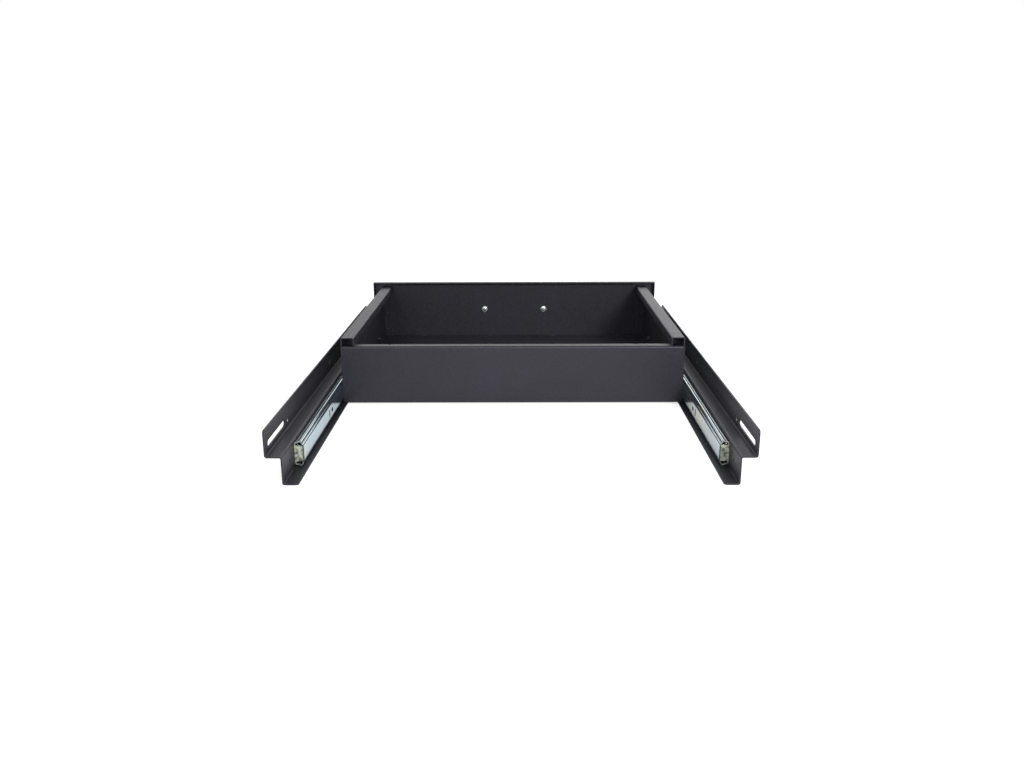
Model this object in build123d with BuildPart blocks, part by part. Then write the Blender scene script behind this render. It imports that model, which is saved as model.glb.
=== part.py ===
from build123d import *
import os

os.makedirs("parts", exist_ok=True)

# A two-unit sliding drawer for a 19 inch rack. The drawer is a folded steel tray with a welded
# back, a pan-shaped front and a bow handle. It rolls on a pair of ball-bearing rails that are
# riveted to two long folded brackets, one for each side of the rack.
# +X is the viewer's right from in front, -Y points out of the rack, +Z is up and Z = 0 is the
# underside of the brackets. Each side piece is made for the right and mirrored to the left.

# Side brackets
RACK_OPENING = 450.0
BRACKET_LENGTH = 584.0
BRACKET_HEIGHT = 53.0
BRACKET_GAUGE = 1.5
LEDGE_HEIGHT = 26.5
LEDGE_WIDTH = 14.8
LIP_WIDTH = 14.9
BEND_RADIUS = 1.0
SHEET_CORNER = 3.0

# Rear fixing slot and small holes of a bracket, measured from its rear end
REAR_SLOT_LENGTH = 64.0
REAR_SLOT_WIDTH = 6.5
REAR_SLOT_FROM_END = 10.0
REAR_SLOT_HEIGHT = 36.6
PILOT_HOLE_RADIUS = 1.6
PILOT_HOLES = [(83.5, 35.4), (295.5, 38.8)]
WALL_HOLE_RADIUS = 1.8
WALL_HOLE_FROM_END = 26.0

# Front ears, on the rack's hole pitch: 482.6 over both ears, 465.1 between their holes
EAR_REACH = 16.3
EAR_HEIGHT = 31.0
EAR_RELIEF = 3.0
EAR_HOLE_REACH = 7.55
EAR_HOLE_PITCH = 15.875
EAR_FIRST_HOLE = 6.35
EAR_SLOT_WIDTH = 6.8
EAR_SLOT_LENGTH = 10.0

# Ball-bearing rails: 500 long, with a travel of 375
RAIL_FROM_END = 45.0
RAIL_FROM_EAR = 39.0
RAIL_OVERLAP_OPEN = 125.0
RAIL_HEIGHT = 25.0
RAIL_WIDTH = 9.0
RAIL_GAUGE = 1.1
RAIL_ABOVE_LIP = 0.4
RAIL_BEND_RADIUS = 0.9
BALL_RADIUS = 1.6
BALL_CLEARANCE = 0.15
BALL_FROM_WALL = 5.2
BALLS_PER_ROW = 5
SHOULDER_ABOVE_BALL = 0.9
OUTER_LIP_BELOW_BALL = 0.2
INNER_LAND_BELOW_BALL = 0.6
STOP_CLEARANCE = 0.6
REAR_STOP_HEIGHT = 16.0
REAR_STOP_REACH = 7.8
CAGE_STOP_HEIGHT = 9.0
CAGE_STOP_SETBACK = 1.6
MAKER_SLOT_LENGTH = 8.5
MAKER_SLOT_WIDTH = 4.2
MAKER_SLOTS_BEHIND_BACK = [(78.5, 90.0), (64.5, 0.0)]

# Ball cages
CAGE_GAUGE = 0.5
CAGE_FROM_WALL = 1.8
CAGE_BEND_RADIUS = 0.4
CAGE_REACH_PAST_BALL = 0.9
CAGE_POCKET_CLEARANCE = 0.1
CAGE_END_MARGIN = 8.0
CAGE_BRIDGE = 9.0
CAGE_WINDOW_BORDER = 3.0

# Rivets that hold the outer rails to the brackets
RIVET_RADIUS = 2.0
RIVET_HEAD_RADIUS = 3.2
RIVET_FLAT_HEAD = 0.5
RIVET_OUTER_HEAD = 1.2
RIVET_HEAD_CHAMFER = 0.9
RIVET_FROM_RAIL_END = 60.0

# Screws that hold the inner rails to the drawer
RAIL_SCREW_RADIUS = 2.0
RAIL_SCREW_HEAD_RADIUS = 3.6
RAIL_SCREW_HEAD_HEIGHT = 2.0
RAIL_SCREW_CHAMFER = 0.8
RAIL_SCREW_PITCH = 125.0
RAIL_SCREW_FROM_BACK = 24.0
SCREW_HOLE_CLEARANCE = 0.2
THREAD_CLEARANCE = 0.03
COLLAR_HEIGHT = 2.0
COLLAR_WALL = 1.2
DRIVE_SIZE = 2.4
DRIVE_SLOT = 0.6
DRIVE_DEPTH = 1.1

# Drawer tray
TRAY_GAUGE = 1.2
TRAY_BEND_RADIUS = 0.5
TRAY_FLOOR_HEIGHT = 2.0
TRAY_WALL_TOP = 80.0
HEM_WIDTH = 15.2
HEM_DROP = 9.6
END_FLANGE_WIDTH = 12.0
END_FLANGE_BOTTOM = 9.0
END_FLANGE_TOP = 64.0
FLOOR_FLANGE_HEIGHT = 12.0
FLOOR_FLANGE_GAP = 2.0
FLOOR_FRONT_GAP = 0.2
FLOOR_NOTCH_WIDTH = 6.0
FLOOR_NOTCH_DEPTH = 2.4
FLOOR_NOTCHES = [138.0, 37.0, -60.0, -160.0]

# Back panel
BACK_FROM_EAR = 335.5
BACK_GAUGE = 1.5
BACK_TOP = 70.0
BACK_FLANGE_WIDTH = 10.0
BACK_FLANGE_GAP = 0.5
BACK_FLANGE_CHAMFER = 2.0
BACK_NOTCH_SPACING = 288.0
BACK_NOTCH_WIDTH = 3.0
BACK_NOTCH_DEPTH = 2.0

# Front panel
FRONT_OVERHANG = 13.0
FRONT_BOTTOM = 0.5
FRONT_TOP = 86.0
FRONT_GAUGE = 1.5
FRONT_RETURN = 10.7
FRONT_EAR_GAP = 0.8
FRONT_RIVET_FROM_WALL = 3.2
FRONT_RIVET_HEIGHTS = [13.0, 37.0]
FRONT_RIVET_RADIUS = 1.2
FRONT_RIVET_HEAD_RADIUS = 2.0
FRONT_RIVET_HEAD_HEIGHT = 0.6
FRONT_RIVET_CHAMFER = 0.4

# Bow handle and its screws
HANDLE_WIDTH = 99.0
HANDLE_HEIGHT = 44.2
HANDLE_REACH = 32.0
HANDLE_BAR_RADIUS = 4.5
HANDLE_BEND_RADIUS = 12.0
HANDLE_FOOT_RADIUS = 7.0
HANDLE_FOOT_HEIGHT = 3.0
HANDLE_SCREW_RADIUS = 2.0
HANDLE_SCREW_GRIP = 10.0
HANDLE_HOLE_SPARE = 2.0
HANDLE_SCREW_HEAD_RADIUS = 3.5
HANDLE_SCREW_HEAD_HEIGHT = 2.4
WASHER_RADIUS = 4.5
WASHER_THICKNESS = 0.8

# Places along the depth of the rack. The handle's front and the brackets' rear ends are as far
# from Y = 0 as each other.
overall_depth = BRACKET_LENGTH + FRONT_EAR_GAP + FRONT_RETURN + HANDLE_REACH
bracket_rear_y = overall_depth / 2
ear_front_y = bracket_rear_y - BRACKET_LENGTH
panel_edge_y = ear_front_y - FRONT_EAR_GAP
panel_face_y = panel_edge_y - FRONT_RETURN
panel_inner_y = panel_face_y + FRONT_GAUGE
handle_front_y = panel_face_y - HANDLE_REACH
back_outer_y = ear_front_y + BACK_FROM_EAR
tray_rear_y = back_outer_y - BACK_GAUGE
tray_length = tray_rear_y - panel_inner_y
rail_rear_y = bracket_rear_y - RAIL_FROM_END
rail_front_y = ear_front_y + RAIL_FROM_EAR
rail_length = rail_rear_y - rail_front_y
rail_travel = rail_length - RAIL_OVERLAP_OPEN

# Places across the rack, on the right-hand side
bracket_outer_x = RACK_OPENING / 2
ear_outer_x = bracket_outer_x + EAR_REACH
ear_hole_x = bracket_outer_x + EAR_HOLE_REACH
lower_wall_outer_x = bracket_outer_x - LEDGE_WIDTH
rail_back_x = lower_wall_outer_x - BRACKET_GAUGE
lip_inner_x = lower_wall_outer_x - LIP_WIDTH
tray_outer_x = rail_back_x - RAIL_WIDTH
tray_inner_x = tray_outer_x - TRAY_GAUGE
hem_inner_x = tray_outer_x - HEM_WIDTH
front_width = 2 * (tray_outer_x + FRONT_OVERHANG)

# Section of the rails: the balls' centres, the races around them and the sheet that forms them
rail_middle_z = BRACKET_GAUGE + RAIL_ABOVE_LIP + RAIL_HEIGHT / 2
race_radius = BALL_RADIUS + BALL_CLEARANCE
race_outside = race_radius + RAIL_GAUGE
ball_height = RAIL_HEIGHT / 2 - race_outside
ball_x = rail_back_x - BALL_FROM_WALL
race_centres = [(ball_x, rail_middle_z + ball_height), (ball_x, rail_middle_z - ball_height)]
shoulder = ball_height + SHOULDER_ABOVE_BALL
outer_lip_end = ball_height - OUTER_LIP_BELOW_BALL
inner_land = ball_height - INNER_LAND_BELOW_BALL
outer_web_face_x = rail_back_x - RAIL_GAUGE
inner_web_face_x = tray_outer_x + RAIL_GAUGE

# Lengths of the moving rail and the cage. The rails overlap by what the travel leaves, and the
# cage fills that overlap between its two stops.
inner_rear_y = rail_rear_y - RAIL_GAUGE - STOP_CLEARANCE
inner_length = inner_rear_y - rail_front_y
open_inner_rear_y = inner_rear_y - rail_travel
cage_open_rear_y = open_inner_rear_y - RAIL_GAUGE - STOP_CLEARANCE
cage_open_front_y = rail_front_y + CAGE_STOP_SETBACK + RAIL_GAUGE + STOP_CLEARANCE
cage_length = cage_open_rear_y - cage_open_front_y
cage_rear_y = cage_open_rear_y + rail_travel / 2
ball_pitch = (cage_length - 2 * CAGE_END_MARGIN) / (BALLS_PER_ROW - 1)
ball_ys = [cage_rear_y - CAGE_END_MARGIN - i * ball_pitch for i in range(BALLS_PER_ROW)]

# Fixings along the rails, on planes that face sideways, and in the front, on planes that face it
rivet_pitch = rail_length / 2 - RIVET_FROM_RAIL_END
rivet_points = [
    (rail_rear_y - RIVET_FROM_RAIL_END - i * rivet_pitch, rail_middle_z) for i in range(3)
]
rail_screw_points = [
    (back_outer_y - RAIL_SCREW_FROM_BACK - i * RAIL_SCREW_PITCH, rail_middle_z) for i in range(3)
]
front_rivet_x = tray_inner_x - FRONT_RIVET_FROM_WALL
front_rivet_points = [(side * front_rivet_x, z) for side in (-1, 1) for z in FRONT_RIVET_HEIGHTS]
handle_leg_x = HANDLE_WIDTH / 2 - HANDLE_BAR_RADIUS
handle_points = [(-handle_leg_x, HANDLE_HEIGHT), (handle_leg_x, HANDLE_HEIGHT)]


def across(x):
    """Plane at x, facing +X, with +Y to its right and +Z up."""
    return Plane.YZ.offset(x)


def along(y):
    """Plane at y, facing the front, with +X to its right and +Z up."""
    return Plane.XZ.offset(-y)


def save(piece, name):
    piece.label = name
    export_step(piece, f"parts/{name}.step")


def save_pair(piece, name):
    """Write the right-hand piece and its mirror image on the left."""
    save(piece, f"right_{name}")
    with BuildPart() as opposite:
        mirror(piece, about=Plane.YZ)
    save(opposite.part, f"left_{name}")


# Side bracket: one folded sheet. The upper wall bolts to the rack's posts, the ledge steps in,
# the lower wall carries the rail, and the lip under it stiffens the whole length.
with BuildPart() as bracket:
    with BuildSketch(along(bracket_rear_y)):
        with BuildLine():
            FilletPolyline(
                (bracket_outer_x, BRACKET_HEIGHT),
                (bracket_outer_x, LEDGE_HEIGHT),
                (lower_wall_outer_x, LEDGE_HEIGHT),
                (lower_wall_outer_x, 0),
                (lip_inner_x, 0),
                radius=[BEND_RADIUS + BRACKET_GAUGE, BEND_RADIUS, BEND_RADIUS + BRACKET_GAUGE],
            )
            offset(amount=BRACKET_GAUGE, side=Side.RIGHT)
        make_face()
    extrude(amount=BRACKET_LENGTH - EAR_RELIEF)
    fillet(bracket.edges().filter_by(Axis.X).group_by(Axis.Z)[-1], SHEET_CORNER)
    fillet(bracket.edges().filter_by(Axis.Z).group_by(Axis.X)[0], SHEET_CORNER)

    # The ear is the lower wall's front end, turned outwards to lie on the rack's front post
    with BuildSketch(Plane.XY):
        with BuildLine():
            FilletPolyline(
                (rail_back_x, ear_front_y + EAR_RELIEF),
                (rail_back_x, ear_front_y),
                (ear_outer_x, ear_front_y),
                radius=BEND_RADIUS + BRACKET_GAUGE,
            )
            offset(amount=BRACKET_GAUGE, side=Side.LEFT)
        make_face()
    extrude(amount=EAR_HEIGHT)
    fillet(bracket.edges().filter_by(Axis.Y).group_by(Axis.X)[-1], SHEET_CORNER)
    with BuildSketch(along(ear_front_y)):
        with Locations(*[(ear_hole_x, EAR_FIRST_HOLE + i * EAR_HOLE_PITCH) for i in (0, 1)]):
            SlotOverall(EAR_SLOT_LENGTH, EAR_SLOT_WIDTH)
    extrude(amount=-BRACKET_GAUGE, mode=Mode.SUBTRACT)

    # Rear slot, pilot holes and rivet holes
    with BuildSketch(across(bracket_outer_x)):
        with Locations((bracket_rear_y - REAR_SLOT_FROM_END - REAR_SLOT_LENGTH / 2, REAR_SLOT_HEIGHT)):
            SlotOverall(REAR_SLOT_LENGTH, REAR_SLOT_WIDTH)
        with Locations(*[(bracket_rear_y - back, height) for back, height in PILOT_HOLES]):
            Circle(PILOT_HOLE_RADIUS)
    extrude(amount=-BRACKET_GAUGE, mode=Mode.SUBTRACT)
    with BuildSketch(across(lower_wall_outer_x)):
        with Locations((bracket_rear_y - WALL_HOLE_FROM_END, rail_middle_z)):
            Circle(WALL_HOLE_RADIUS)
        with Locations(*rivet_points):
            Circle(RIVET_RADIUS)
    extrude(amount=-BRACKET_GAUGE, mode=Mode.SUBTRACT)
save_pair(bracket.part, "bracket")

# Outer rail: a rolled steel channel that stays in the rack. Its web lies on the bracket, and its
# two rolled lips are the outer races of the balls.
with BuildPart() as outer_rail:
    with BuildSketch(along(rail_rear_y)) as outer_section:
        with Locations((rail_back_x, rail_middle_z)):
            Rectangle(BALL_FROM_WALL, 2 * (shoulder + RAIL_GAUGE), align=(Align.MAX, Align.CENTER))
        with Locations(*race_centres):
            Circle(race_outside)
        with Locations((outer_web_face_x, rail_middle_z)):
            Rectangle(RAIL_WIDTH, 2 * outer_lip_end, align=(Align.MAX, Align.CENTER), mode=Mode.SUBTRACT)
            Rectangle(
                BALL_FROM_WALL - RAIL_GAUGE,
                2 * shoulder,
                align=(Align.MAX, Align.CENTER),
                mode=Mode.SUBTRACT,
            )
        with Locations(*race_centres):
            Circle(race_radius, mode=Mode.SUBTRACT)
        fillet(outer_section.vertices().group_by(Axis.X)[-2], RAIL_BEND_RADIUS)
        fillet(outer_section.vertices().group_by(Axis.X)[-1], RAIL_BEND_RADIUS + RAIL_GAUGE)
    extrude(amount=rail_length)

    # The rear end is turned in as a stop for the inner rail, and a small tab stops the cage
    with BuildSketch(along(rail_rear_y)):
        with Locations((rail_back_x, rail_middle_z)):
            Rectangle(REAR_STOP_REACH, REAR_STOP_HEIGHT, align=(Align.MAX, Align.CENTER))
    extrude(amount=RAIL_GAUGE)
    with BuildSketch(along(rail_front_y + CAGE_STOP_SETBACK + RAIL_GAUGE)):
        with Locations((rail_back_x, rail_middle_z)):
            Rectangle(CAGE_FROM_WALL + CAGE_GAUGE, CAGE_STOP_HEIGHT, align=(Align.MAX, Align.CENTER))
    extrude(amount=RAIL_GAUGE)
    with BuildSketch(across(rail_back_x)):
        with Locations(*rivet_points):
            Circle(RIVET_RADIUS)
    extrude(amount=-RAIL_GAUGE, mode=Mode.SUBTRACT)
save_pair(outer_rail.part, "outer_rail")

# Inner rail: the narrower channel that the drawer hangs on. Each edge turns over a short land and
# dips under the balls as the inner race.
with BuildPart() as inner_rail:
    with BuildSketch(along(inner_rear_y)) as inner_section:
        with Locations((tray_outer_x, rail_middle_z)):
            Rectangle(ball_x - tray_outer_x, 2 * inner_land, align=(Align.MIN, Align.CENTER))
        with Locations(*race_centres):
            Circle(race_outside)
        with Locations((inner_web_face_x, rail_middle_z)):
            Rectangle(
                ball_x - inner_web_face_x + race_outside,
                2 * (inner_land - RAIL_GAUGE),
                align=(Align.MIN, Align.CENTER),
                mode=Mode.SUBTRACT,
            )
        with Locations(*race_centres):
            Circle(race_outside)
        with Locations((tray_outer_x, rail_middle_z + inner_land)):
            Rectangle(RAIL_WIDTH, RAIL_HEIGHT, align=(Align.MIN, Align.MIN), mode=Mode.SUBTRACT)
        with Locations((tray_outer_x, rail_middle_z - inner_land)):
            Rectangle(RAIL_WIDTH, RAIL_HEIGHT, align=(Align.MIN, Align.MAX), mode=Mode.SUBTRACT)
        with Locations(*race_centres):
            Circle(race_radius, mode=Mode.SUBTRACT)
        fillet(inner_section.vertices().group_by(Axis.X)[0], RAIL_BEND_RADIUS + RAIL_GAUGE)
    extrude(amount=inner_length)

    # A tab at the rear end catches the cage when the drawer is fully out
    with BuildSketch(along(inner_rear_y)):
        with Locations((tray_outer_x, rail_middle_z)):
            Rectangle(RAIL_WIDTH - CAGE_FROM_WALL, CAGE_STOP_HEIGHT, align=(Align.MIN, Align.CENTER))
    extrude(amount=RAIL_GAUGE)
    with BuildSketch(across(tray_outer_x)):
        with Locations(*rail_screw_points):
            Circle(RAIL_SCREW_RADIUS + SCREW_HOLE_CLEARANCE)
        for behind_back, turn in MAKER_SLOTS_BEHIND_BACK:
            with Locations((back_outer_y + behind_back, rail_middle_z)):
                SlotOverall(MAKER_SLOT_LENGTH, MAKER_SLOT_WIDTH, rotation=turn)
    extrude(amount=RAIL_GAUGE, mode=Mode.SUBTRACT)
save_pair(inner_rail.part, "inner_rail")

# Ball cage: a thin stamped channel between the rails, with a pocket round each ball
with BuildPart() as ball_cage:
    with BuildSketch(along(cage_rear_y)):
        with BuildLine():
            FilletPolyline(
                (ball_x - CAGE_REACH_PAST_BALL, rail_middle_z + ball_height + CAGE_GAUGE / 2),
                (rail_back_x - CAGE_FROM_WALL, rail_middle_z + ball_height + CAGE_GAUGE / 2),
                (rail_back_x - CAGE_FROM_WALL, rail_middle_z - ball_height - CAGE_GAUGE / 2),
                (ball_x - CAGE_REACH_PAST_BALL, rail_middle_z - ball_height - CAGE_GAUGE / 2),
                radius=CAGE_BEND_RADIUS + CAGE_GAUGE,
            )
            offset(amount=CAGE_GAUGE, side=Side.RIGHT)
        make_face()
    extrude(amount=cage_length)
    with BuildSketch(Plane.XY.offset(rail_middle_z)):
        with Locations(*[(ball_x, y) for y in ball_ys]):
            Circle(BALL_RADIUS + CAGE_POCKET_CLEARANCE)
    extrude(amount=RAIL_HEIGHT / 2, both=True, mode=Mode.SUBTRACT)
    with BuildSketch(across(rail_back_x - CAGE_FROM_WALL)):
        with Locations((cage_rear_y - cage_length / 2, rail_middle_z)):
            RectangleRounded(
                cage_length - 2 * CAGE_BRIDGE,
                2 * (ball_height - CAGE_WINDOW_BORDER),
                CAGE_WINDOW_BORDER / 2,
            )
    extrude(amount=-CAGE_GAUGE, mode=Mode.SUBTRACT)
save_pair(ball_cage.part, "ball_cage")

# Balls: hardened steel, in an upper and a lower row on each side
with BuildPart() as balls:
    for x, z in race_centres:
        with Locations(*[(x, y, z) for y in ball_ys]):
            Sphere(BALL_RADIUS)
save_pair(balls.part, "balls")

# Rivets through the outer rail and the bracket: flattened inside so that the cage passes, with a
# bevelled head outside
with BuildPart() as bracket_rivets:
    with BuildSketch(across(outer_web_face_x)):
        with Locations(*rivet_points):
            Circle(RIVET_HEAD_RADIUS)
    extrude(amount=-RIVET_FLAT_HEAD)
    with BuildSketch(across(outer_web_face_x)):
        with Locations(*rivet_points):
            Circle(RIVET_RADIUS)
    extrude(amount=RAIL_GAUGE + BRACKET_GAUGE)
    with BuildSketch(across(lower_wall_outer_x)):
        with Locations(*rivet_points):
            Circle(RIVET_HEAD_RADIUS)
    extrude(amount=RIVET_OUTER_HEAD)
    chamfer(bracket_rivets.edges().filter_by(GeomType.CIRCLE).group_by(Axis.X)[-1], RIVET_HEAD_CHAMFER)
save_pair(bracket_rivets.part, "bracket_rivets")

# Pan-head screws from the rail side into the tray's drawn collars, with a cross recess
with BuildPart() as rail_screws:
    with BuildSketch(across(inner_web_face_x)):
        with Locations(*rail_screw_points):
            Circle(RAIL_SCREW_HEAD_RADIUS)
    extrude(amount=RAIL_SCREW_HEAD_HEIGHT)
    chamfer(rail_screws.edges().filter_by(GeomType.CIRCLE).group_by(Axis.X)[-1], RAIL_SCREW_CHAMFER)
    with BuildSketch(across(inner_web_face_x + RAIL_SCREW_HEAD_HEIGHT)):
        with Locations(*rail_screw_points):
            Rectangle(DRIVE_SIZE, DRIVE_SLOT)
            Rectangle(DRIVE_SLOT, DRIVE_SIZE)
    extrude(amount=-DRIVE_DEPTH, mode=Mode.SUBTRACT)
    with BuildSketch(across(inner_web_face_x)):
        with Locations(*rail_screw_points):
            Circle(RAIL_SCREW_RADIUS)
    extrude(amount=-(RAIL_GAUGE + TRAY_GAUGE + COLLAR_HEIGHT))
save_pair(rail_screws.part, "rail_screws")

# Drawer tray: floor and both sides from one sheet. Each side is folded in over its top and down
# again as a square hem that is left open at the rear.
with BuildPart() as tray:
    bend = TRAY_BEND_RADIUS + TRAY_GAUGE
    with BuildSketch(along(tray_rear_y)):
        with BuildLine():
            FilletPolyline(
                (-hem_inner_x, TRAY_WALL_TOP - HEM_DROP),
                (-hem_inner_x, TRAY_WALL_TOP),
                (-tray_outer_x, TRAY_WALL_TOP),
                (-tray_outer_x, TRAY_FLOOR_HEIGHT),
                (tray_outer_x, TRAY_FLOOR_HEIGHT),
                (tray_outer_x, TRAY_WALL_TOP),
                (hem_inner_x, TRAY_WALL_TOP),
                (hem_inner_x, TRAY_WALL_TOP - HEM_DROP),
                radius=bend,
            )
            offset(amount=TRAY_GAUGE, side=Side.LEFT)
        make_face()
    extrude(amount=tray_length)

    # End flanges: at both ends each side wall is turned in, with a relief cut above and below
    flange_height = END_FLANGE_TOP - END_FLANGE_BOTTOM
    for x in (-tray_outer_x, tray_outer_x):
        for y in (tray_rear_y, panel_inner_y):
            with Locations((x, y, END_FLANGE_BOTTOM - TRAY_GAUGE)):
                Box(
                    4 * TRAY_GAUGE,
                    2 * bend,
                    flange_height + 2 * TRAY_GAUGE,
                    align=(Align.CENTER, Align.CENTER, Align.MIN),
                    mode=Mode.SUBTRACT,
                )
    for side in (-1, 1):
        for end_y, inward in ((tray_rear_y, -1), (panel_inner_y, 1)):
            with BuildSketch(Plane.XY.offset(END_FLANGE_BOTTOM)):
                with BuildLine():
                    FilletPolyline(
                        (side * tray_outer_x, end_y + inward * 2 * bend),
                        (side * tray_outer_x, end_y),
                        (side * (tray_outer_x - END_FLANGE_WIDTH), end_y),
                        radius=bend,
                    )
                    offset(amount=TRAY_GAUGE, side=Side.LEFT if side * inward < 0 else Side.RIGHT)
                make_face()
            extrude(amount=flange_height)

    # The floor's rear edge is turned up against the back panel
    floor_flange_half_width = tray_outer_x - END_FLANGE_WIDTH - FLOOR_FLANGE_GAP
    with BuildSketch(along(tray_rear_y)):
        with Locations((0, TRAY_FLOOR_HEIGHT)):
            Rectangle(2 * floor_flange_half_width, TRAY_GAUGE, align=(Align.CENTER, Align.MIN))
    extrude(amount=bend, mode=Mode.SUBTRACT)
    with BuildSketch(across(-floor_flange_half_width)):
        with BuildLine():
            FilletPolyline(
                (tray_rear_y - 2 * bend, TRAY_FLOOR_HEIGHT),
                (tray_rear_y, TRAY_FLOOR_HEIGHT),
                (tray_rear_y, TRAY_FLOOR_HEIGHT + FLOOR_FLANGE_HEIGHT),
                radius=bend,
            )
            offset(amount=TRAY_GAUGE, side=Side.LEFT)
        make_face()
    extrude(amount=2 * floor_flange_half_width)

    # The floor stops short of the front panel's bend, and has small locating notches in its edge
    with BuildSketch(Plane.XY.offset(TRAY_FLOOR_HEIGHT)):
        floor_front_y = panel_inner_y + BEND_RADIUS + FLOOR_FRONT_GAP
        with Locations((0, panel_inner_y)):
            Rectangle(
                2 * tray_outer_x,
                floor_front_y - panel_inner_y,
                align=(Align.CENTER, Align.MIN),
            )
        with Locations(*[(x, floor_front_y) for x in FLOOR_NOTCHES]):
            Rectangle(FLOOR_NOTCH_WIDTH, 2 * FLOOR_NOTCH_DEPTH)
    extrude(amount=TRAY_GAUGE, mode=Mode.SUBTRACT)

    # Drawn and tapped collars for the rail screws, and holes for the front rivets
    for side in (-1, 1):
        with BuildSketch(across(side * tray_inner_x)):
            with Locations(*rail_screw_points):
                Circle(RAIL_SCREW_RADIUS + COLLAR_WALL)
        extrude(amount=-side * COLLAR_HEIGHT)
        with BuildSketch(across(side * tray_outer_x)):
            with Locations(*rail_screw_points):
                Circle(RAIL_SCREW_RADIUS + THREAD_CLEARANCE)
        extrude(amount=-side * (TRAY_GAUGE + COLLAR_HEIGHT), mode=Mode.SUBTRACT)
    with BuildSketch(along(panel_inner_y)):
        with Locations(*front_rivet_points):
            Circle(FRONT_RIVET_RADIUS)
    extrude(amount=-TRAY_GAUGE, mode=Mode.SUBTRACT)
save(tray.part, "drawer_tray")

# Back panel: a flat plate over the tray's rear, with its top edge folded forward between the side
# walls, just under the hems
with BuildPart() as back_panel:
    bend = BEND_RADIUS + BACK_GAUGE
    flange_half_width = tray_inner_x - BACK_FLANGE_GAP
    with BuildSketch(along(back_outer_y)):
        with Locations((0, TRAY_FLOOR_HEIGHT)):
            Rectangle(
                2 * tray_outer_x,
                BACK_TOP - bend - TRAY_FLOOR_HEIGHT,
                align=(Align.CENTER, Align.MIN),
            )
    extrude(amount=BACK_GAUGE)
    with BuildSketch(across(-flange_half_width)):
        with BuildLine():
            FilletPolyline(
                (back_outer_y, BACK_TOP - 2 * bend),
                (back_outer_y, BACK_TOP),
                (tray_rear_y - BACK_FLANGE_WIDTH, BACK_TOP),
                radius=bend,
            )
            offset(amount=BACK_GAUGE, side=Side.LEFT)
        make_face()
    extrude(amount=2 * flange_half_width)
    flange_corners = back_panel.edges().filter_by(Axis.Z).group_by(Axis.Y)[0]
    chamfer(flange_corners, BACK_FLANGE_CHAMFER)
    with BuildSketch(Plane.XY.offset(BACK_TOP)):
        with Locations(
            (-BACK_NOTCH_SPACING / 2, tray_rear_y - BACK_FLANGE_WIDTH),
            (BACK_NOTCH_SPACING / 2, tray_rear_y - BACK_FLANGE_WIDTH),
        ):
            Rectangle(BACK_NOTCH_WIDTH, 2 * BACK_NOTCH_DEPTH)
    extrude(amount=-BACK_GAUGE, mode=Mode.SUBTRACT)
save(back_panel.part, "back_panel")

# Front panel: a shallow pan, its four edges turned back so that it closes just short of the ears
with BuildPart() as front_panel:
    with BuildSketch(along(panel_edge_y)):
        with Locations((0, FRONT_BOTTOM)):
            Rectangle(front_width, FRONT_TOP - FRONT_BOTTOM, align=(Align.CENTER, Align.MIN))
    extrude(amount=FRONT_RETURN)
    fillet(front_panel.faces().sort_by(Axis.Y)[0].edges(), BEND_RADIUS + FRONT_GAUGE)
    offset(amount=-FRONT_GAUGE, openings=front_panel.faces().sort_by(Axis.Y)[-1])
    with BuildSketch(along(panel_inner_y)):
        with Locations(*handle_points):
            Circle(HANDLE_SCREW_RADIUS + SCREW_HOLE_CLEARANCE)
        with Locations(*front_rivet_points):
            Circle(FRONT_RIVET_RADIUS)
    extrude(amount=FRONT_GAUGE, mode=Mode.SUBTRACT)
save(front_panel.part, "front_panel")

# Front rivets: low heads inside the tray's front flanges, flush with the panel's face
with BuildPart() as front_rivets:
    with BuildSketch(along(panel_inner_y + TRAY_GAUGE)):
        with Locations(*front_rivet_points):
            Circle(FRONT_RIVET_HEAD_RADIUS)
    extrude(amount=-FRONT_RIVET_HEAD_HEIGHT)
    head_rims = front_rivets.edges().filter_by(GeomType.CIRCLE).group_by(Axis.Y)[-1]
    chamfer(head_rims, FRONT_RIVET_CHAMFER)
    with BuildSketch(along(panel_inner_y + TRAY_GAUGE)):
        with Locations(*front_rivet_points):
            Circle(FRONT_RIVET_RADIUS)
    extrude(amount=TRAY_GAUGE + FRONT_GAUGE)
save(front_rivets.part, "front_rivets")

# Bow handle: one round bar bent twice, with collars at its feet and tapped ends for the screws
with BuildPart() as handle:
    grip_y = handle_front_y + HANDLE_BAR_RADIUS
    with BuildLine() as handle_path:
        FilletPolyline(
            (-handle_leg_x, panel_face_y, HANDLE_HEIGHT),
            (-handle_leg_x, grip_y, HANDLE_HEIGHT),
            (handle_leg_x, grip_y, HANDLE_HEIGHT),
            (handle_leg_x, panel_face_y, HANDLE_HEIGHT),
            radius=HANDLE_BEND_RADIUS,
        )
    with BuildSketch(Plane(handle_path.line @ 0, x_dir=(1, 0, 0), z_dir=handle_path.line % 0)):
        Circle(HANDLE_BAR_RADIUS)
    sweep()
    with BuildSketch(along(panel_face_y)):
        with Locations(*handle_points):
            Circle(HANDLE_FOOT_RADIUS)
    extrude(amount=HANDLE_FOOT_HEIGHT)
    with BuildSketch(along(panel_face_y)):
        with Locations(*handle_points):
            Circle(HANDLE_SCREW_RADIUS + THREAD_CLEARANCE)
    extrude(amount=HANDLE_SCREW_GRIP + HANDLE_HOLE_SPARE, mode=Mode.SUBTRACT)
save(handle.part, "handle")

# Washers and pan-head screws that hold the handle from inside the drawer
with BuildPart() as handle_washers:
    with BuildSketch(along(panel_inner_y)):
        with Locations(*handle_points):
            Circle(WASHER_RADIUS)
            Circle(HANDLE_SCREW_RADIUS + SCREW_HOLE_CLEARANCE, mode=Mode.SUBTRACT)
    extrude(amount=-WASHER_THICKNESS)
save(handle_washers.part, "handle_washers")

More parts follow.
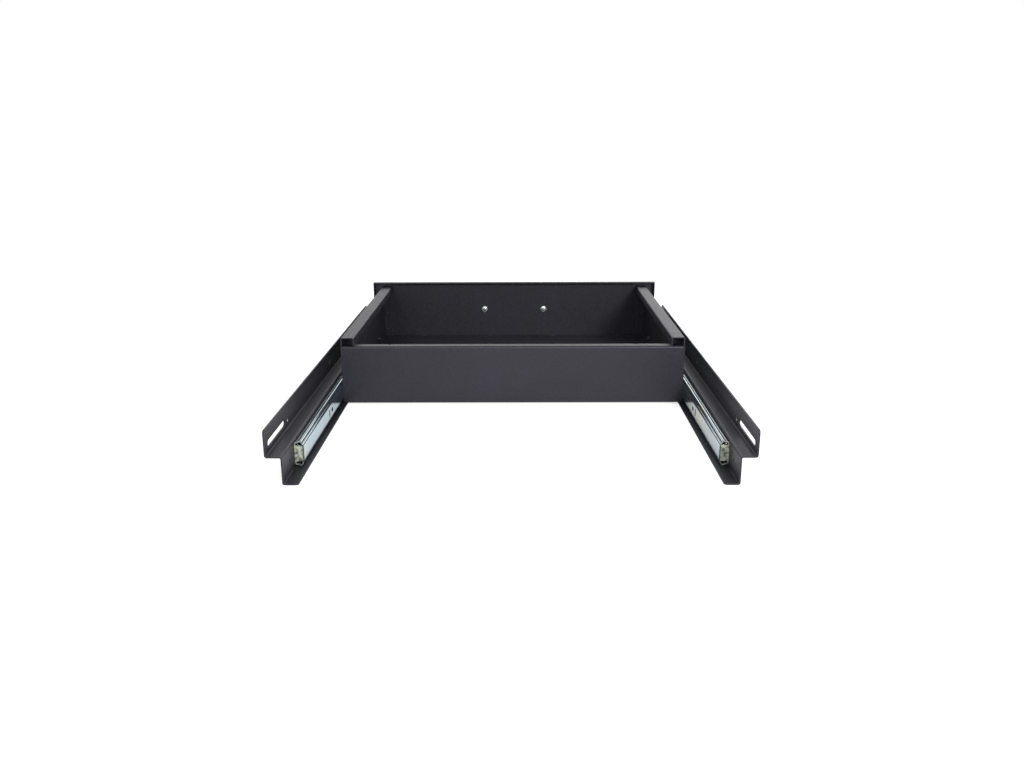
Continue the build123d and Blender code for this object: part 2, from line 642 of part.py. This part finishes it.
with BuildPart() as handle_screws:
    seat_y = panel_inner_y + WASHER_THICKNESS
    with BuildSketch(along(seat_y)):
        with Locations(*handle_points):
            Circle(HANDLE_SCREW_HEAD_RADIUS)
    extrude(amount=-HANDLE_SCREW_HEAD_HEIGHT)
    head_rims = handle_screws.edges().filter_by(GeomType.CIRCLE).group_by(Axis.Y)[-1]
    fillet(head_rims, HANDLE_SCREW_HEAD_HEIGHT / 2)
    with BuildSketch(along(seat_y + HANDLE_SCREW_HEAD_HEIGHT)):
        with Locations(*handle_points):
            Rectangle(DRIVE_SIZE, DRIVE_SLOT)
            Rectangle(DRIVE_SLOT, DRIVE_SIZE)
    extrude(amount=DRIVE_DEPTH, mode=Mode.SUBTRACT)
    with BuildSketch(along(seat_y)):
        with Locations(*handle_points):
            Circle(HANDLE_SCREW_RADIUS)
    extrude(amount=WASHER_THICKNESS + FRONT_GAUGE + HANDLE_SCREW_GRIP)
save(handle_screws.part, "handle_screws")
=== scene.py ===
from math import radians, tau

import bmesh
import bpy
from mathutils import Matrix, Vector


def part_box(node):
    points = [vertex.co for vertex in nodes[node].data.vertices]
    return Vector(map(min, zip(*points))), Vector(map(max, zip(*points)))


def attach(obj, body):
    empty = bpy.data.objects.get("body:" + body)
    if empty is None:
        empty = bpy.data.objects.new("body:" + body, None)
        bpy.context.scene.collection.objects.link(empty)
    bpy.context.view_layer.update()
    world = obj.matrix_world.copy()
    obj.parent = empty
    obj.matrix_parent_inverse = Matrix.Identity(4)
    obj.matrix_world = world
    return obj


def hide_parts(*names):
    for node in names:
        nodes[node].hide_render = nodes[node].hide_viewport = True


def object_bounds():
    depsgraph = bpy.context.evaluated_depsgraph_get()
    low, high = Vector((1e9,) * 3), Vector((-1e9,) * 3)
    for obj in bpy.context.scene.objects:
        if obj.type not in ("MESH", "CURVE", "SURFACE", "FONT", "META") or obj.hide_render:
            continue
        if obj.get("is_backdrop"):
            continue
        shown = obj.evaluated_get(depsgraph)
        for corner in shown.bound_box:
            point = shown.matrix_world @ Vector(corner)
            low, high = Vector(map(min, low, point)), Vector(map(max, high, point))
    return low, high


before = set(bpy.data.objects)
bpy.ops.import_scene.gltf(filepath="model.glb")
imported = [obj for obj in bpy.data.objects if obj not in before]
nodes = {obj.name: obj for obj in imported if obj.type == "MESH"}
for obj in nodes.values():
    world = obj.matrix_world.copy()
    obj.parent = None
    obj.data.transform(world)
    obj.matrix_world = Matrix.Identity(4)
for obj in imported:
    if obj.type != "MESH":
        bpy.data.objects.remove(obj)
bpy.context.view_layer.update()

# Side brackets
# Two long folded sections of 1.5 mm cold-rolled steel, one for each side of the rack. They are
# bent first and then powder coated all over in fine-textured black, so the bends are coated too.
MM = 0.001


def linear(hex_colour):
    """A colour written as sRGB hex, in the linear values that the shader takes."""
    channels = [int(hex_colour[i : i + 2], 16) / 255 for i in (1, 3, 5)]
    return [c / 12.92 if c <= 0.04045 else ((c + 0.055) / 1.055) ** 2.4 for c in channels] + [1.0]


def add_node(tree, kind, inputs, **settings):
    """Add a node. Each input is a plain value, or another node's output to link."""
    node = tree.nodes.new(kind)
    for name, value in settings.items():
        setattr(node, name, value)
    for socket, value in inputs.items():
        if isinstance(value, bpy.types.NodeSocket):
            tree.links.new(value, node.inputs[socket])
        else:
            node.inputs[socket].default_value = value
    return node


def new_material(name, **values):
    """A material's node tree and its shader, with the shader's plain values set."""
    material = bpy.data.materials.new(name)
    material.use_nodes = True
    shader = material.node_tree.nodes["Principled BSDF"]
    for socket, value in values.items():
        shader.inputs[socket.replace("_", " ")].default_value = value
    return material, material.node_tree, shader


def set_ramp(ramp_node, *stops):
    """Give a colour ramp its stops, each a position and a colour."""
    ramp = ramp_node.color_ramp
    while len(ramp.elements) < len(stops):
        ramp.elements.new(1.0)
    for element, (position, colour) in zip(ramp.elements, stops):
        element.position = position
        element.color = linear(colour)


def finish_with(material, *names):
    """Give CAD nodes a material."""
    for name in names:
        nodes[name].data.materials.clear()
        nodes[name].data.materials.append(material)


# Fine-textured polyester powder, baked at 200 degrees. The grains melt together into a skin of low
# bumps about 0.4 mm apart, drawn here as 1.8 mm so that they show. Head on it is a soft violet
# Head on it is a soft violet black, at a glance the bumps catch the light and it turns grey. Sharp edges
# are coated thinly and turn a lighter grey, which is partly that thin coat and partly a painted highlight
# along them.
GRAIN = 1.8 * MM
CLOUD = 70 * MM
GRAIN_HEIGHT = 0.3 * MM
EDGE = 0.35 * MM
coat, tree, shader = new_material("powder_coat_fine_textured_black", IOR=1.5)
shader.inputs["Specular Tint"].default_value = linear("#f1efff")
place = add_node(tree, "ShaderNodeTexCoord", {}).outputs["Object"]
grain = add_node(
    tree,
    "ShaderNodeTexNoise",
    {"Vector": place, "Scale": 1 / GRAIN, "Detail": 2.0, "Roughness": 0.6},
)
cloud = add_node(tree, "ShaderNodeTexNoise", {"Vector": place, "Scale": 1 / CLOUD, "Detail": 4.0})
tone = add_node(tree, "ShaderNodeValToRGB", {"Fac": cloud.outputs["Fac"]})
set_ramp(tone, (0.3, "#1a191e"), (0.7, "#222028"))
speck = add_node(tree, "ShaderNodeValToRGB", {"Fac": grain.outputs["Fac"]})
set_ramp(speck, (0.35, "#8c8c8c"), (0.75, "#ffffff"))
flecked = add_node(
    tree,
    "ShaderNodeMix",
    {"Factor": 0.5, "A": tone.outputs["Color"], "B": speck.outputs["Color"]},
    data_type="RGBA",
    blend_type="MULTIPLY",
)
rounded = add_node(tree, "ShaderNodeBevel", {"Radius": EDGE}, samples=4)
face = add_node(tree, "ShaderNodeNewGeometry", {})
turn = add_node(
    tree,
    "ShaderNodeVectorMath",
    {0: rounded.outputs["Normal"], 1: face.outputs["Normal"]},
    operation="DOT_PRODUCT",
)
# Sharp edges are mixed towards a lighter grey: partly the thin coat there, partly a painted highlight
# along the edges.
thin_coat_and_highlight = add_node(
    tree,
    "ShaderNodeMapRange",
    {"Value": turn.outputs["Value"], "From Min": 0.99, "From Max": 0.8},
)
edge_lit_coat = add_node(
    tree,
    "ShaderNodeMix",
    {"Factor": thin_coat_and_highlight.outputs["Result"], "A": flecked.outputs["Result"], "B": linear("#4a4850")},
    data_type="RGBA",
)
tree.links.new(edge_lit_coat.outputs["Result"], shader.inputs["Base Color"])
gloss = add_node(
    tree,
    "ShaderNodeMapRange",
    {"Value": grain.outputs["Fac"], "From Min": 0.3, "From Max": 0.7, "To Min": 0.4, "To Max": 0.52},
)
tree.links.new(gloss.outputs["Result"], shader.inputs["Roughness"])
skin = add_node(
    tree,
    "ShaderNodeBump",
    {
        "Height": grain.outputs["Fac"],
        "Strength": 0.5,
        "Distance": GRAIN_HEIGHT,
        "Normal": rounded.outputs["Normal"],
    },
)
tree.links.new(skin.outputs["Normal"], shader.inputs["Normal"])
finish_with(coat, "right_bracket", "left_bracket")

# Pilot-hole rims
# Each small hole in a bracket's upper wall gets a thin ring of bare steel, inside the hole and round its
# mouth. The ring is a painted highlight, standing in for the glint that the hole's coated edge catches.
RIM_OUTER = 2.0 * MM
RIM_HOLE = 1.6 * MM
RIM_WALL = 0.12 * MM
RIM_STEPS = 32
MERGE = 0.001 * MM
SHEET = 1.5 * MM
EAR_REACH = 16.3 * MM
# Each hole's distance from the bracket's rear end, and its height
PILOT_HOLES = [(83.5 * MM, 35.4 * MM), (295.5 * MM, 38.8 * MM)]
STEEL_MOTTLE = 0.6 * MM
# Painted highlight: this bright steel stands in for the glint on the holes' coated edges.
hole_glint_steel, tree, shader = new_material("steel_for_hole_glints", Metallic=1.0)
place = add_node(tree, "ShaderNodeTexCoord", {}).outputs["Object"]
steel_mottle = add_node(tree, "ShaderNodeTexNoise", {"Vector": place, "Scale": 1 / STEEL_MOTTLE, "Detail": 3.0})
tone = add_node(tree, "ShaderNodeValToRGB", {"Fac": steel_mottle.outputs["Fac"]})
set_ramp(tone, (0.3, "#78766f"), (0.7, "#a8a69f"))
tree.links.new(tone.outputs["Color"], shader.inputs["Base Color"])
gloss = add_node(tree, "ShaderNodeMapRange", {"Value": steel_mottle.outputs["Fac"], "To Min": 0.3, "To Max": 0.5})
tree.links.new(gloss.outputs["Result"], shader.inputs["Roughness"])


def spun(profile, centre, direction, steps):
    """A mesh spun from points (radius, height) round an axis through centre."""
    mesh = bmesh.new()
    verts = [mesh.verts.new((radius, 0, height)) for radius, height in profile]
    edges = [mesh.edges.new(pair) for pair in zip(verts, verts[1:])]
    bmesh.ops.spin(
        mesh,
        geom=verts + edges,
        axis=(0, 0, 1),
        cent=(0, 0, 0),
        angle=tau,
        steps=steps,
        use_merge=True,
    )
    bmesh.ops.remove_doubles(mesh, verts=mesh.verts[:], dist=MERGE)
    bmesh.ops.recalc_face_normals(mesh, faces=mesh.faces[:])
    turned = Vector((0, 0, 1)).rotation_difference(direction).to_matrix().to_4x4()
    bmesh.ops.transform(mesh, matrix=Matrix.Translation(centre) @ turned, verts=mesh.verts[:])
    return mesh


def add_piece(name, meshes, material, body):
    """One object from several meshes, riding on a body."""
    joined = bpy.data.meshes.new(name)
    whole = bmesh.new()
    for mesh in meshes:
        mesh.to_mesh(joined)
        mesh.free()
        whole.from_mesh(joined)
    for each in whole.faces:
        each.smooth = True
    whole.to_mesh(joined)
    whole.free()
    piece = bpy.data.objects.new(name, joined)
    bpy.context.collection.objects.link(piece)
    joined.materials.append(material)
    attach(piece, body)
    return piece


# The front ear stands past the upper wall by EAR_REACH, so the holes are measured from inside it.
bracket_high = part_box("right_bracket")[1]
rim_profile = [
    (RIM_HOLE - RIM_WALL, -RIM_WALL / 2),
    (RIM_OUTER, -RIM_WALL / 2),
    (RIM_OUTER, RIM_WALL / 2),
    (RIM_HOLE, RIM_WALL / 2),
    (RIM_HOLE, SHEET - RIM_WALL),
    (RIM_HOLE - RIM_WALL, SHEET - RIM_WALL),
    (RIM_HOLE - RIM_WALL, -RIM_WALL / 2),
]
for side, name in ((1, "right"), (-1, "left")):
    rims = [
        spun(
            rim_profile,
            Vector((side * (bracket_high[0] - EAR_REACH - SHEET), bracket_high[1] - back, height)),
            Vector((side, 0, 0)),
            RIM_STEPS,
        )
        for back, height in PILOT_HOLES
    ]
    add_piece(f"{name}_pilot_hole_glint_rims", rims, hole_glint_steel, "root")

# Outer rails and their rivets
# Channels rolled from 1.1 mm steel strip, zinc plated and blue passivated, with the rear end turned
# in as a stop. Each is fixed to its bracket by three rivets, closed flat on the inside.

# Blue-passivated zinc is mirror-like along the strip, with faint drawing lines from the rolls. The
# film's thickness varies, so patches 8 to 50 mm wide lean to blue, to plain grey or to straw yellow.
STREAK = 0.5 * MM
STREAK_LENGTH = 80 * MM
PATCH = 45 * MM
MOTTLE = 8 * MM
BLOT = 3 * MM
LIP_START = 8.5 * MM
LIP_FULL = 9.5 * MM
LINE_HEIGHT = 0.02 * MM
ROLLED_EDGE = 0.25 * MM
zinc, tree, shader = new_material("zinc_plate_blue_passivated", Metallic=1.0)
place = add_node(tree, "ShaderNodeTexCoord", {}).outputs["Object"]
along_strip = add_node(
    tree,
    "ShaderNodeMapping",
    {"Vector": place, "Scale": (1 / STREAK, 1 / STREAK_LENGTH, 1 / STREAK)},
)
streak = add_node(
    tree,
    "ShaderNodeTexNoise",
    {"Vector": along_strip.outputs["Vector"], "Scale": 1.0, "Detail": 2.0},
)
patch = add_node(
    tree,
    "ShaderNodeTexNoise",
    {"Vector": place, "Scale": 1 / PATCH, "Detail": 1.0, "Distortion": 0.6},
)
mottle = add_node(tree, "ShaderNodeTexNoise", {"Vector": place, "Scale": 1 / MOTTLE, "Detail": 3.0})
film = add_node(
    tree,
    "ShaderNodeMath",
    {0: mottle.outputs["Fac"], 1: 0.35, 2: patch.outputs["Fac"]},
    operation="MULTIPLY_ADD",
)
tint = add_node(tree, "ShaderNodeValToRGB", {"Fac": film.outputs["Value"]})
set_ramp(tint, (0.54, "#94abb9"), (0.66, "#a6b6be"), (0.75, "#b0babb"), (0.86, "#b8baac"))
# In the bath the rail hangs with its stop down, so the last drops dry there to a matt crust of
# yellow-green salts, in blots. It covers the stop's own 1.1 mm and hides most of the metal's shine.
CRUST_START = 1.6 * MM
CRUST_FULL = 1.0 * MM
rail_low, rail_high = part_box("right_outer_rail")
axes = add_node(tree, "ShaderNodeSeparateXYZ", {"Vector": place})
drip = add_node(
    tree,
    "ShaderNodeMapRange",
    {
        "Value": axes.outputs["Y"],
        "From Min": rail_high[1] - CRUST_START,
        "From Max": rail_high[1] - CRUST_FULL,
        "To Max": 0.8,
    },
)
blot = add_node(tree, "ShaderNodeTexNoise", {"Vector": place, "Scale": 1 / BLOT, "Detail": 2.0})
stain = add_node(tree, "ShaderNodeValToRGB", {"Fac": blot.outputs["Fac"]})
set_ramp(stain, (0.37, "#2f3128"), (0.45, "#74775f"), (0.53, "#a5a88b"), (0.62, "#c8cab4"))
stained = add_node(
    tree,
    "ShaderNodeMix",
    {"Factor": drip.outputs["Result"], "A": tint.outputs["Color"], "B": stain.outputs["Color"]},
    data_type="RGBA",
)
# Painted shade: both lips are darkened towards grey, to stand in for a dimmer reflection of the ceiling
# than the white tent gives them.
off_middle = add_node(
    tree,
    "ShaderNodeMath",
    {0: axes.outputs["Z"], 1: (rail_low[2] + rail_high[2]) / 2},
    operation="SUBTRACT",
)
from_middle = add_node(tree, "ShaderNodeMath", {0: off_middle.outputs["Value"]}, operation="ABSOLUTE")
lip_painted_shade = add_node(
    tree,
    "ShaderNodeMapRange",
    {"Value": from_middle.outputs["Value"], "From Min": LIP_START, "From Max": LIP_FULL, "To Max": 0.5},
)
lip_shaded_zinc = add_node(
    tree,
    "ShaderNodeMix",
    {"Factor": lip_painted_shade.outputs["Result"], "A": stained.outputs["Result"], "B": linear("#6f7679")},
    data_type="RGBA",
)
tree.links.new(lip_shaded_zinc.outputs["Result"], shader.inputs["Base Color"])
gloss = add_node(
    tree,
    "ShaderNodeMapRange",
    {"Value": film.outputs["Value"], "From Min": 0.5, "To Min": 0.12, "To Max": 0.24},
)
crust = add_node(tree, "ShaderNodeMath", {0: drip.outputs["Result"], 1: 0.7}, operation="MULTIPLY")
matt = add_node(
    tree,
    "ShaderNodeMath",
    {0: gloss.outputs["Result"], 1: crust.outputs["Value"]},
    operation="MAXIMUM",
)
tree.links.new(matt.outputs["Value"], shader.inputs["Roughness"])
shine = add_node(tree, "ShaderNodeMath", {0: 1.0, 1: drip.outputs["Result"]}, operation="SUBTRACT")
tree.links.new(shine.outputs["Value"], shader.inputs["Metallic"])
rounded = add_node(tree, "ShaderNodeBevel", {"Radius": ROLLED_EDGE}, samples=4)
lines = add_node(
    tree,
    "ShaderNodeBump",
    {
        "Height": streak.outputs["Fac"],
        "Strength": 0.1,
        "Distance": LINE_HEIGHT,
        "Normal": rounded.outputs["Normal"],
    },
)
tree.links.new(lines.outputs["Normal"], shader.inputs["Normal"])
finish_with(zinc, "right_outer_rail", "left_outer_rail", "right_bracket_rivets", "left_bracket_rivets")

# Ball cages and balls
# Each cage is stamped from 0.5 mm bright-rolled strip and keeps its balls apart in their races.
# The balls are through-hardened chrome steel, tumbled to a mirror, with a film of grease.
strip, tree, shader = new_material("bright_rolled_steel_strip", Metallic=1.0)
place = add_node(tree, "ShaderNodeTexCoord", {}).outputs["Object"]
along_strip = add_node(
    tree,
    "ShaderNodeMapping",
    {"Vector": place, "Scale": (1 / STREAK, 1 / STREAK_LENGTH, 1 / STREAK)},
)
roll = add_node(
    tree,
    "ShaderNodeTexNoise",
    {"Vector": along_strip.outputs["Vector"], "Scale": 1.0, "Detail": 3.0},
)
tint = add_node(tree, "ShaderNodeValToRGB", {"Fac": roll.outputs["Fac"]})
set_ramp(tint, (0.3, "#a3a3a4"), (0.7, "#bdbcba"))
tree.links.new(tint.outputs["Color"], shader.inputs["Base Color"])
gloss = add_node(tree, "ShaderNodeMapRange", {"Value": roll.outputs["Fac"], "To Min": 0.22, "To Max": 0.4})
tree.links.new(gloss.outputs["Result"], shader.inputs["Roughness"])
finish_with(strip, "right_ball_cage", "left_ball_cage")

GREASE = 1.5 * MM
chrome, tree, shader = new_material("hardened_chrome_steel_greased", Metallic=1.0)
place = add_node(tree, "ShaderNodeTexCoord", {}).outputs["Object"]
grease = add_node(tree, "ShaderNodeTexNoise", {"Vector": place, "Scale": 1 / GREASE, "Detail": 2.0})
tint = add_node(tree, "ShaderNodeValToRGB", {"Fac": grease.outputs["Fac"]})
set_ramp(tint, (0.35, "#c9c6bd"), (0.65, "#dadadb"))
tree.links.new(tint.outputs["Color"], shader.inputs["Base Color"])
gloss = add_node(
    tree,
    "ShaderNodeMapRange",
    {"Value": grease.outputs["Fac"], "To Min": 0.04, "To Max": 0.22},
)
tree.links.new(gloss.outputs["Result"], shader.inputs["Roughness"])
finish_with(chrome, "right_balls", "left_balls")

# Inner rails and their screws
# The narrower channels are rolled from the same plated strip and ride on the balls. Three bright
# zinc pan-head screws hold each one to the drawer, driven from the rail's side.
finish_with(zinc, "right_inner_rail", "left_inner_rail")

# Fasteners are barrel plated, so the zinc is paler and evener than on the strip, with small bright
# and dull spots where they rubbed together.
RUB = 1.2 * MM
barrel, tree, shader = new_material("barrel_plated_bright_zinc", Metallic=1.0)
place = add_node(tree, "ShaderNodeTexCoord", {}).outputs["Object"]
rub = add_node(tree, "ShaderNodeTexNoise", {"Vector": place, "Scale": 1 / RUB, "Detail": 3.0})
tint = add_node(tree, "ShaderNodeValToRGB", {"Fac": rub.outputs["Fac"]})
set_ramp(tint, (0.3, "#cdd2d6"), (0.7, "#e6e8e9"))
tree.links.new(tint.outputs["Color"], shader.inputs["Base Color"])
gloss = add_node(tree, "ShaderNodeMapRange", {"Value": rub.outputs["Fac"], "To Min": 0.2, "To Max": 0.42})
tree.links.new(gloss.outputs["Result"], shader.inputs["Roughness"])
HEAD_RADIUS = 3.6 * MM
HEAD_HEIGHT = 2.0 * MM
HEAD_DOME = 0.7 * MM
HEAD_EDGE = 0.1 * MM
HEAD_STEPS = 48
SHANK_RADIUS = 1.97 * MM
TIP_CHAMFER = 0.6 * MM
RECESS_WIDTH = 3.6 * MM
RECESS_SLOT = 0.9 * MM
RECESS_DEPTH = 1.4 * MM
RECESS_TAPER = 0.45
PUNCH_SPARE = 0.1 * MM
SHARP_EDGE = radians(35)


def pan_head_screws(name, node, seats, direction, length, head_radius, head_height, body):
    """Cross-recessed pan-head screws at seats, their shanks running against direction."""
    # From the middle of the low dome, over the head's rim and flat underside, down to the tip
    rim = head_height - HEAD_DOME
    profile = [
        (0, head_height),
        (head_radius * 0.45, head_height - 0.12 * HEAD_DOME),
        (head_radius * 0.75, head_height - 0.45 * HEAD_DOME),
        (head_radius * 0.94, rim),
        (head_radius, rim * 0.6),
        (head_radius, HEAD_EDGE),
        (head_radius - HEAD_EDGE, 0),
        (SHANK_RADIUS, 0),
        (SHANK_RADIUS, TIP_CHAMFER - length),
        (SHANK_RADIUS - TIP_CHAMFER, -length),
        (0, -length),
    ]
    heads = [spun(profile, seat, direction, HEAD_STEPS) for seat in seats]
    screws = add_piece(name, heads, barrel, body)
    turned = Vector((0, 0, 1)).rotation_difference(direction).to_matrix().to_4x4()
    recesses = bmesh.new()
    for seat in seats:
        for width, slot in ((RECESS_WIDTH, RECESS_SLOT), (RECESS_SLOT, RECESS_WIDTH)):
            wedge = bmesh.ops.create_cube(recesses, size=1.0)["verts"]
            for vert in wedge:
                narrow = RECESS_TAPER if vert.co.z < 0 else 1.0
                vert.co.x *= width * narrow
                vert.co.y *= slot * narrow
                vert.co.z = head_height + (-RECESS_DEPTH if vert.co.z < 0 else PUNCH_SPARE)
            bmesh.ops.transform(recesses, matrix=Matrix.Translation(seat) @ turned, verts=wedge)
    punch_mesh = bpy.data.meshes.new("recess_punch")
    recesses.to_mesh(punch_mesh)
    recesses.free()
    punch = bpy.data.objects.new("recess_punch", punch_mesh)
    bpy.context.collection.objects.link(punch)
    cut = screws.modifiers.new("recess", "BOOLEAN")
    cut.object = punch
    cut.use_self = True
    shaped = bpy.data.meshes.new_from_object(screws.evaluated_get(bpy.context.evaluated_depsgraph_get()))
    screws.modifiers.remove(cut)
    screws.data = shaped
    shaped.name = name
    shaped.set_sharp_from_angle(angle=SHARP_EDGE)
    bpy.data.objects.remove(punch)
    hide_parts(node)


RAIL_SCREW_PITCH = 125 * MM
for side, name in ((1, "right"), (-1, "left")):
    low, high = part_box(f"{name}_rail_screws")
    tip, top = (low[0], high[0]) if side > 0 else (high[0], low[0])
    seats = [
        Vector((top - side * HEAD_HEIGHT, high[1] - HEAD_RADIUS - behind, (low[2] + high[2]) / 2))
        for behind in (0, RAIL_SCREW_PITCH, 2 * RAIL_SCREW_PITCH)
    ]
    length = abs(top - tip) - HEAD_HEIGHT
    pan_head_screws(
        f"{name}_rail_pan_screws",
        f"{name}_rail_screws",
        seats,
        Vector((side, 0, 0)),
        length,
        HEAD_RADIUS,
        HEAD_HEIGHT,
        "drawer",
    )

# Drawer tray, back panel, front panel and front rivets
# The tray is one 1.2 mm sheet, the back and the pan-shaped front are 1.5 mm. They are welded and
# riveted together first, and the whole drawer is then coated with the same powder as the brackets.
finish_with(coat, "drawer_tray", "back_panel", "front_panel", "front_rivets")

# Bow handle
# A 9 mm aluminium bar, bent twice, with turned collars at its feet. It is stove enamelled in a
# smooth satin black, so it is glossier than the drawer, with a slight orange peel.
PEEL = 1.6 * MM
PEEL_HEIGHT = 0.08 * MM
enamel, tree, shader = new_material("stove_enamel_satin_black", IOR=1.52)
place = add_node(tree, "ShaderNodeTexCoord", {}).outputs["Object"]
peel = add_node(tree, "ShaderNodeTexNoise", {"Vector": place, "Scale": 1 / PEEL, "Detail": 1.0})
tint = add_node(tree, "ShaderNodeValToRGB", {"Fac": peel.outputs["Fac"]})
set_ramp(tint, (0.3, "#1a1a1c"), (0.7, "#212123"))
tree.links.new(tint.outputs["Color"], shader.inputs["Base Color"])
gloss = add_node(
    tree,
    "ShaderNodeMapRange",
    {"Value": peel.outputs["Fac"], "To Min": 0.22, "To Max": 0.32},
)
tree.links.new(gloss.outputs["Result"], shader.inputs["Roughness"])
skin = add_node(
    tree,
    "ShaderNodeBump",
    {"Height": peel.outputs["Fac"], "Strength": 0.12, "Distance": PEEL_HEIGHT},
)
tree.links.new(skin.outputs["Normal"], shader.inputs["Normal"])
finish_with(enamel, "handle")

# Handle screws and washers
# Two M4 pan-head screws with plain washers, bright zinc, driven from inside the drawer through the
# front panel into the handle's feet. Their polished heads are the brightest things in the drawer.
HANDLE_SCREW_X = 45 * MM
HANDLE_HEAD_RADIUS = 3.5 * MM
HANDLE_HEAD_HEIGHT = 2.4 * MM
finish_with(barrel, "handle_washers")
low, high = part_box("handle_screws")
seat_y = high[1] - HANDLE_HEAD_HEIGHT
seats = [Vector((x, seat_y, (low[2] + high[2]) / 2)) for x in (-HANDLE_SCREW_X, HANDLE_SCREW_X)]
pan_head_screws(
    "handle_pan_screws",
    "handle_screws",
    seats,
    Vector((0, 1, 0)),
    seat_y - low[1],
    HANDLE_HEAD_RADIUS,
    HANDLE_HEAD_HEIGHT,
    "drawer",
)

# Floor
# The part stands on a sheet of matt white background paper that runs on to the horizon. Its pulp
# makes it a little uneven.
FLOOR_SIZE = 30.0
PULP = 4 * MM
floor_mesh = bpy.data.meshes.new("floor")
sheet = bmesh.new()
bmesh.ops.create_grid(sheet, x_segments=1, y_segments=1, size=FLOOR_SIZE)
sheet.to_mesh(floor_mesh)
sheet.free()
floor = bpy.data.objects.new("floor", floor_mesh)
bpy.context.collection.objects.link(floor)
floor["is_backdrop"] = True

# The lit paper alone renders at about three quarters of white. A quarter more brings it to plain
# white where the plating mirrors it, and the camera sees it brighter, so that its shadow is faint.
MIRRORED_GLOW = 0.25
SEEN_GLOW = 0.6
paper, tree, shader = new_material("white_background_paper", Roughness=1.0)
shader.inputs["Specular IOR Level"].default_value = 0.0
place = add_node(tree, "ShaderNodeTexCoord", {}).outputs["Object"]
pulp = add_node(tree, "ShaderNodeTexNoise", {"Vector": place, "Scale": 1 / PULP, "Detail": 2.0})
tint = add_node(tree, "ShaderNodeValToRGB", {"Fac": pulp.outputs["Fac"]})
set_ramp(tint, (0.3, "#f3f3f2"), (0.7, "#f7f7f7"))
tree.links.new(tint.outputs["Color"], shader.inputs["Base Color"])


def shown(tree, seen, mirrored):
    """The level seen where the camera looks, the level mirrored in gloss or glass, else zero."""
    path = add_node(tree, "ShaderNodeLightPath", {})
    glossy = add_node(
        tree,
        "ShaderNodeMath",
        {0: path.outputs["Is Glossy Ray"], 1: path.outputs["Is Transmission Ray"]},
        operation="MAXIMUM",
    )
    reflected = add_node(
        tree,
        "ShaderNodeMath",
        {0: glossy.outputs["Value"], 1: mirrored},
        operation="MULTIPLY",
    )
    return add_node(
        tree,
        "ShaderNodeMath",
        {0: path.outputs["Is Camera Ray"], 1: seen, 2: reflected.outputs["Value"]},
        operation="MULTIPLY_ADD",
    ).outputs["Value"]


shader.inputs["Emission Color"].default_value = linear("#ffffff")
tree.links.new(shown(tree, SEEN_GLOW, MIRRORED_GLOW), shader.inputs["Emission Strength"])
floor_mesh.materials.append(paper)

# Studio
# A white tent all round gives even light, and shows as plain white. The main softbox stands behind
# the camera on its right, with a weaker one on its left that softens the shadows in the drawer.
# Two weak strips beyond the drawer's front rake over the hems and the front's top edge.
FILL = 0.7
MIDDLE = Vector((0, 0.05, 0))
world = bpy.data.worlds.new("white_light_tent")
bpy.context.scene.world = world
world.use_nodes = True
tree = world.node_tree
tent = tree.nodes["Background"]
tent.inputs["Color"].default_value = linear("#ffffff")
level = add_node(tree, "ShaderNodeMath", {0: shown(tree, 1 - FILL, 1 - FILL), 1: FILL}, operation="ADD")
tree.links.new(level.outputs["Value"], tent.inputs["Strength"])
for name, place, size, watts in (
    ("right_softbox", (-0.95, 2.2, 1.1), (0.7, 0.5), 38.0),
    ("left_softbox", (0.55, 2.3, 1.1), (0.5, 0.5), 8.0),
    ("side_strip", (-1.0, -1.7, 0.9), (1.6, 0.5), 3.2),
    ("far_strip", (0.0, -2.0, 0.6), (2.4, 0.5), 2.6),
):
    lamp = bpy.data.lights.new(name, "AREA")
    lamp.shape = "RECTANGLE"
    lamp.size, lamp.size_y = size
    lamp.energy = watts
    light = bpy.data.objects.new(name, lamp)
    light.location = place
    light.rotation_euler = (MIDDLE - Vector(place)).to_track_quat("-Z", "Y").to_euler()
    bpy.context.collection.objects.link(light)

# Camera
# It stands behind the drawer and looks along it from a little above. Its place, turn and lens were
# fitted to the photograph's edges.
CAMERA_PLACE = (-0.0078, 1.0875, 0.3219)
HEADING = radians(180.48)
DOWN = radians(16.22)
ROLL = radians(-0.239)
LENS = 31.91
camera_data = bpy.data.cameras.new("camera")
camera_data.lens = LENS
camera = bpy.data.objects.new("camera", camera_data)
camera.matrix_world = (
    Matrix.Translation(CAMERA_PLACE)
    @ Matrix.Rotation(HEADING, 4, "Z")
    @ Matrix.Rotation(radians(90) - DOWN, 4, "X")
    @ Matrix.Rotation(ROLL, 4, "Z")
)
bpy.context.collection.objects.link(camera)
bpy.context.scene.camera = camera
bpy.context.scene.view_settings.view_transform = "Standard"

# This model's box, with the floor left out.
low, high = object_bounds()
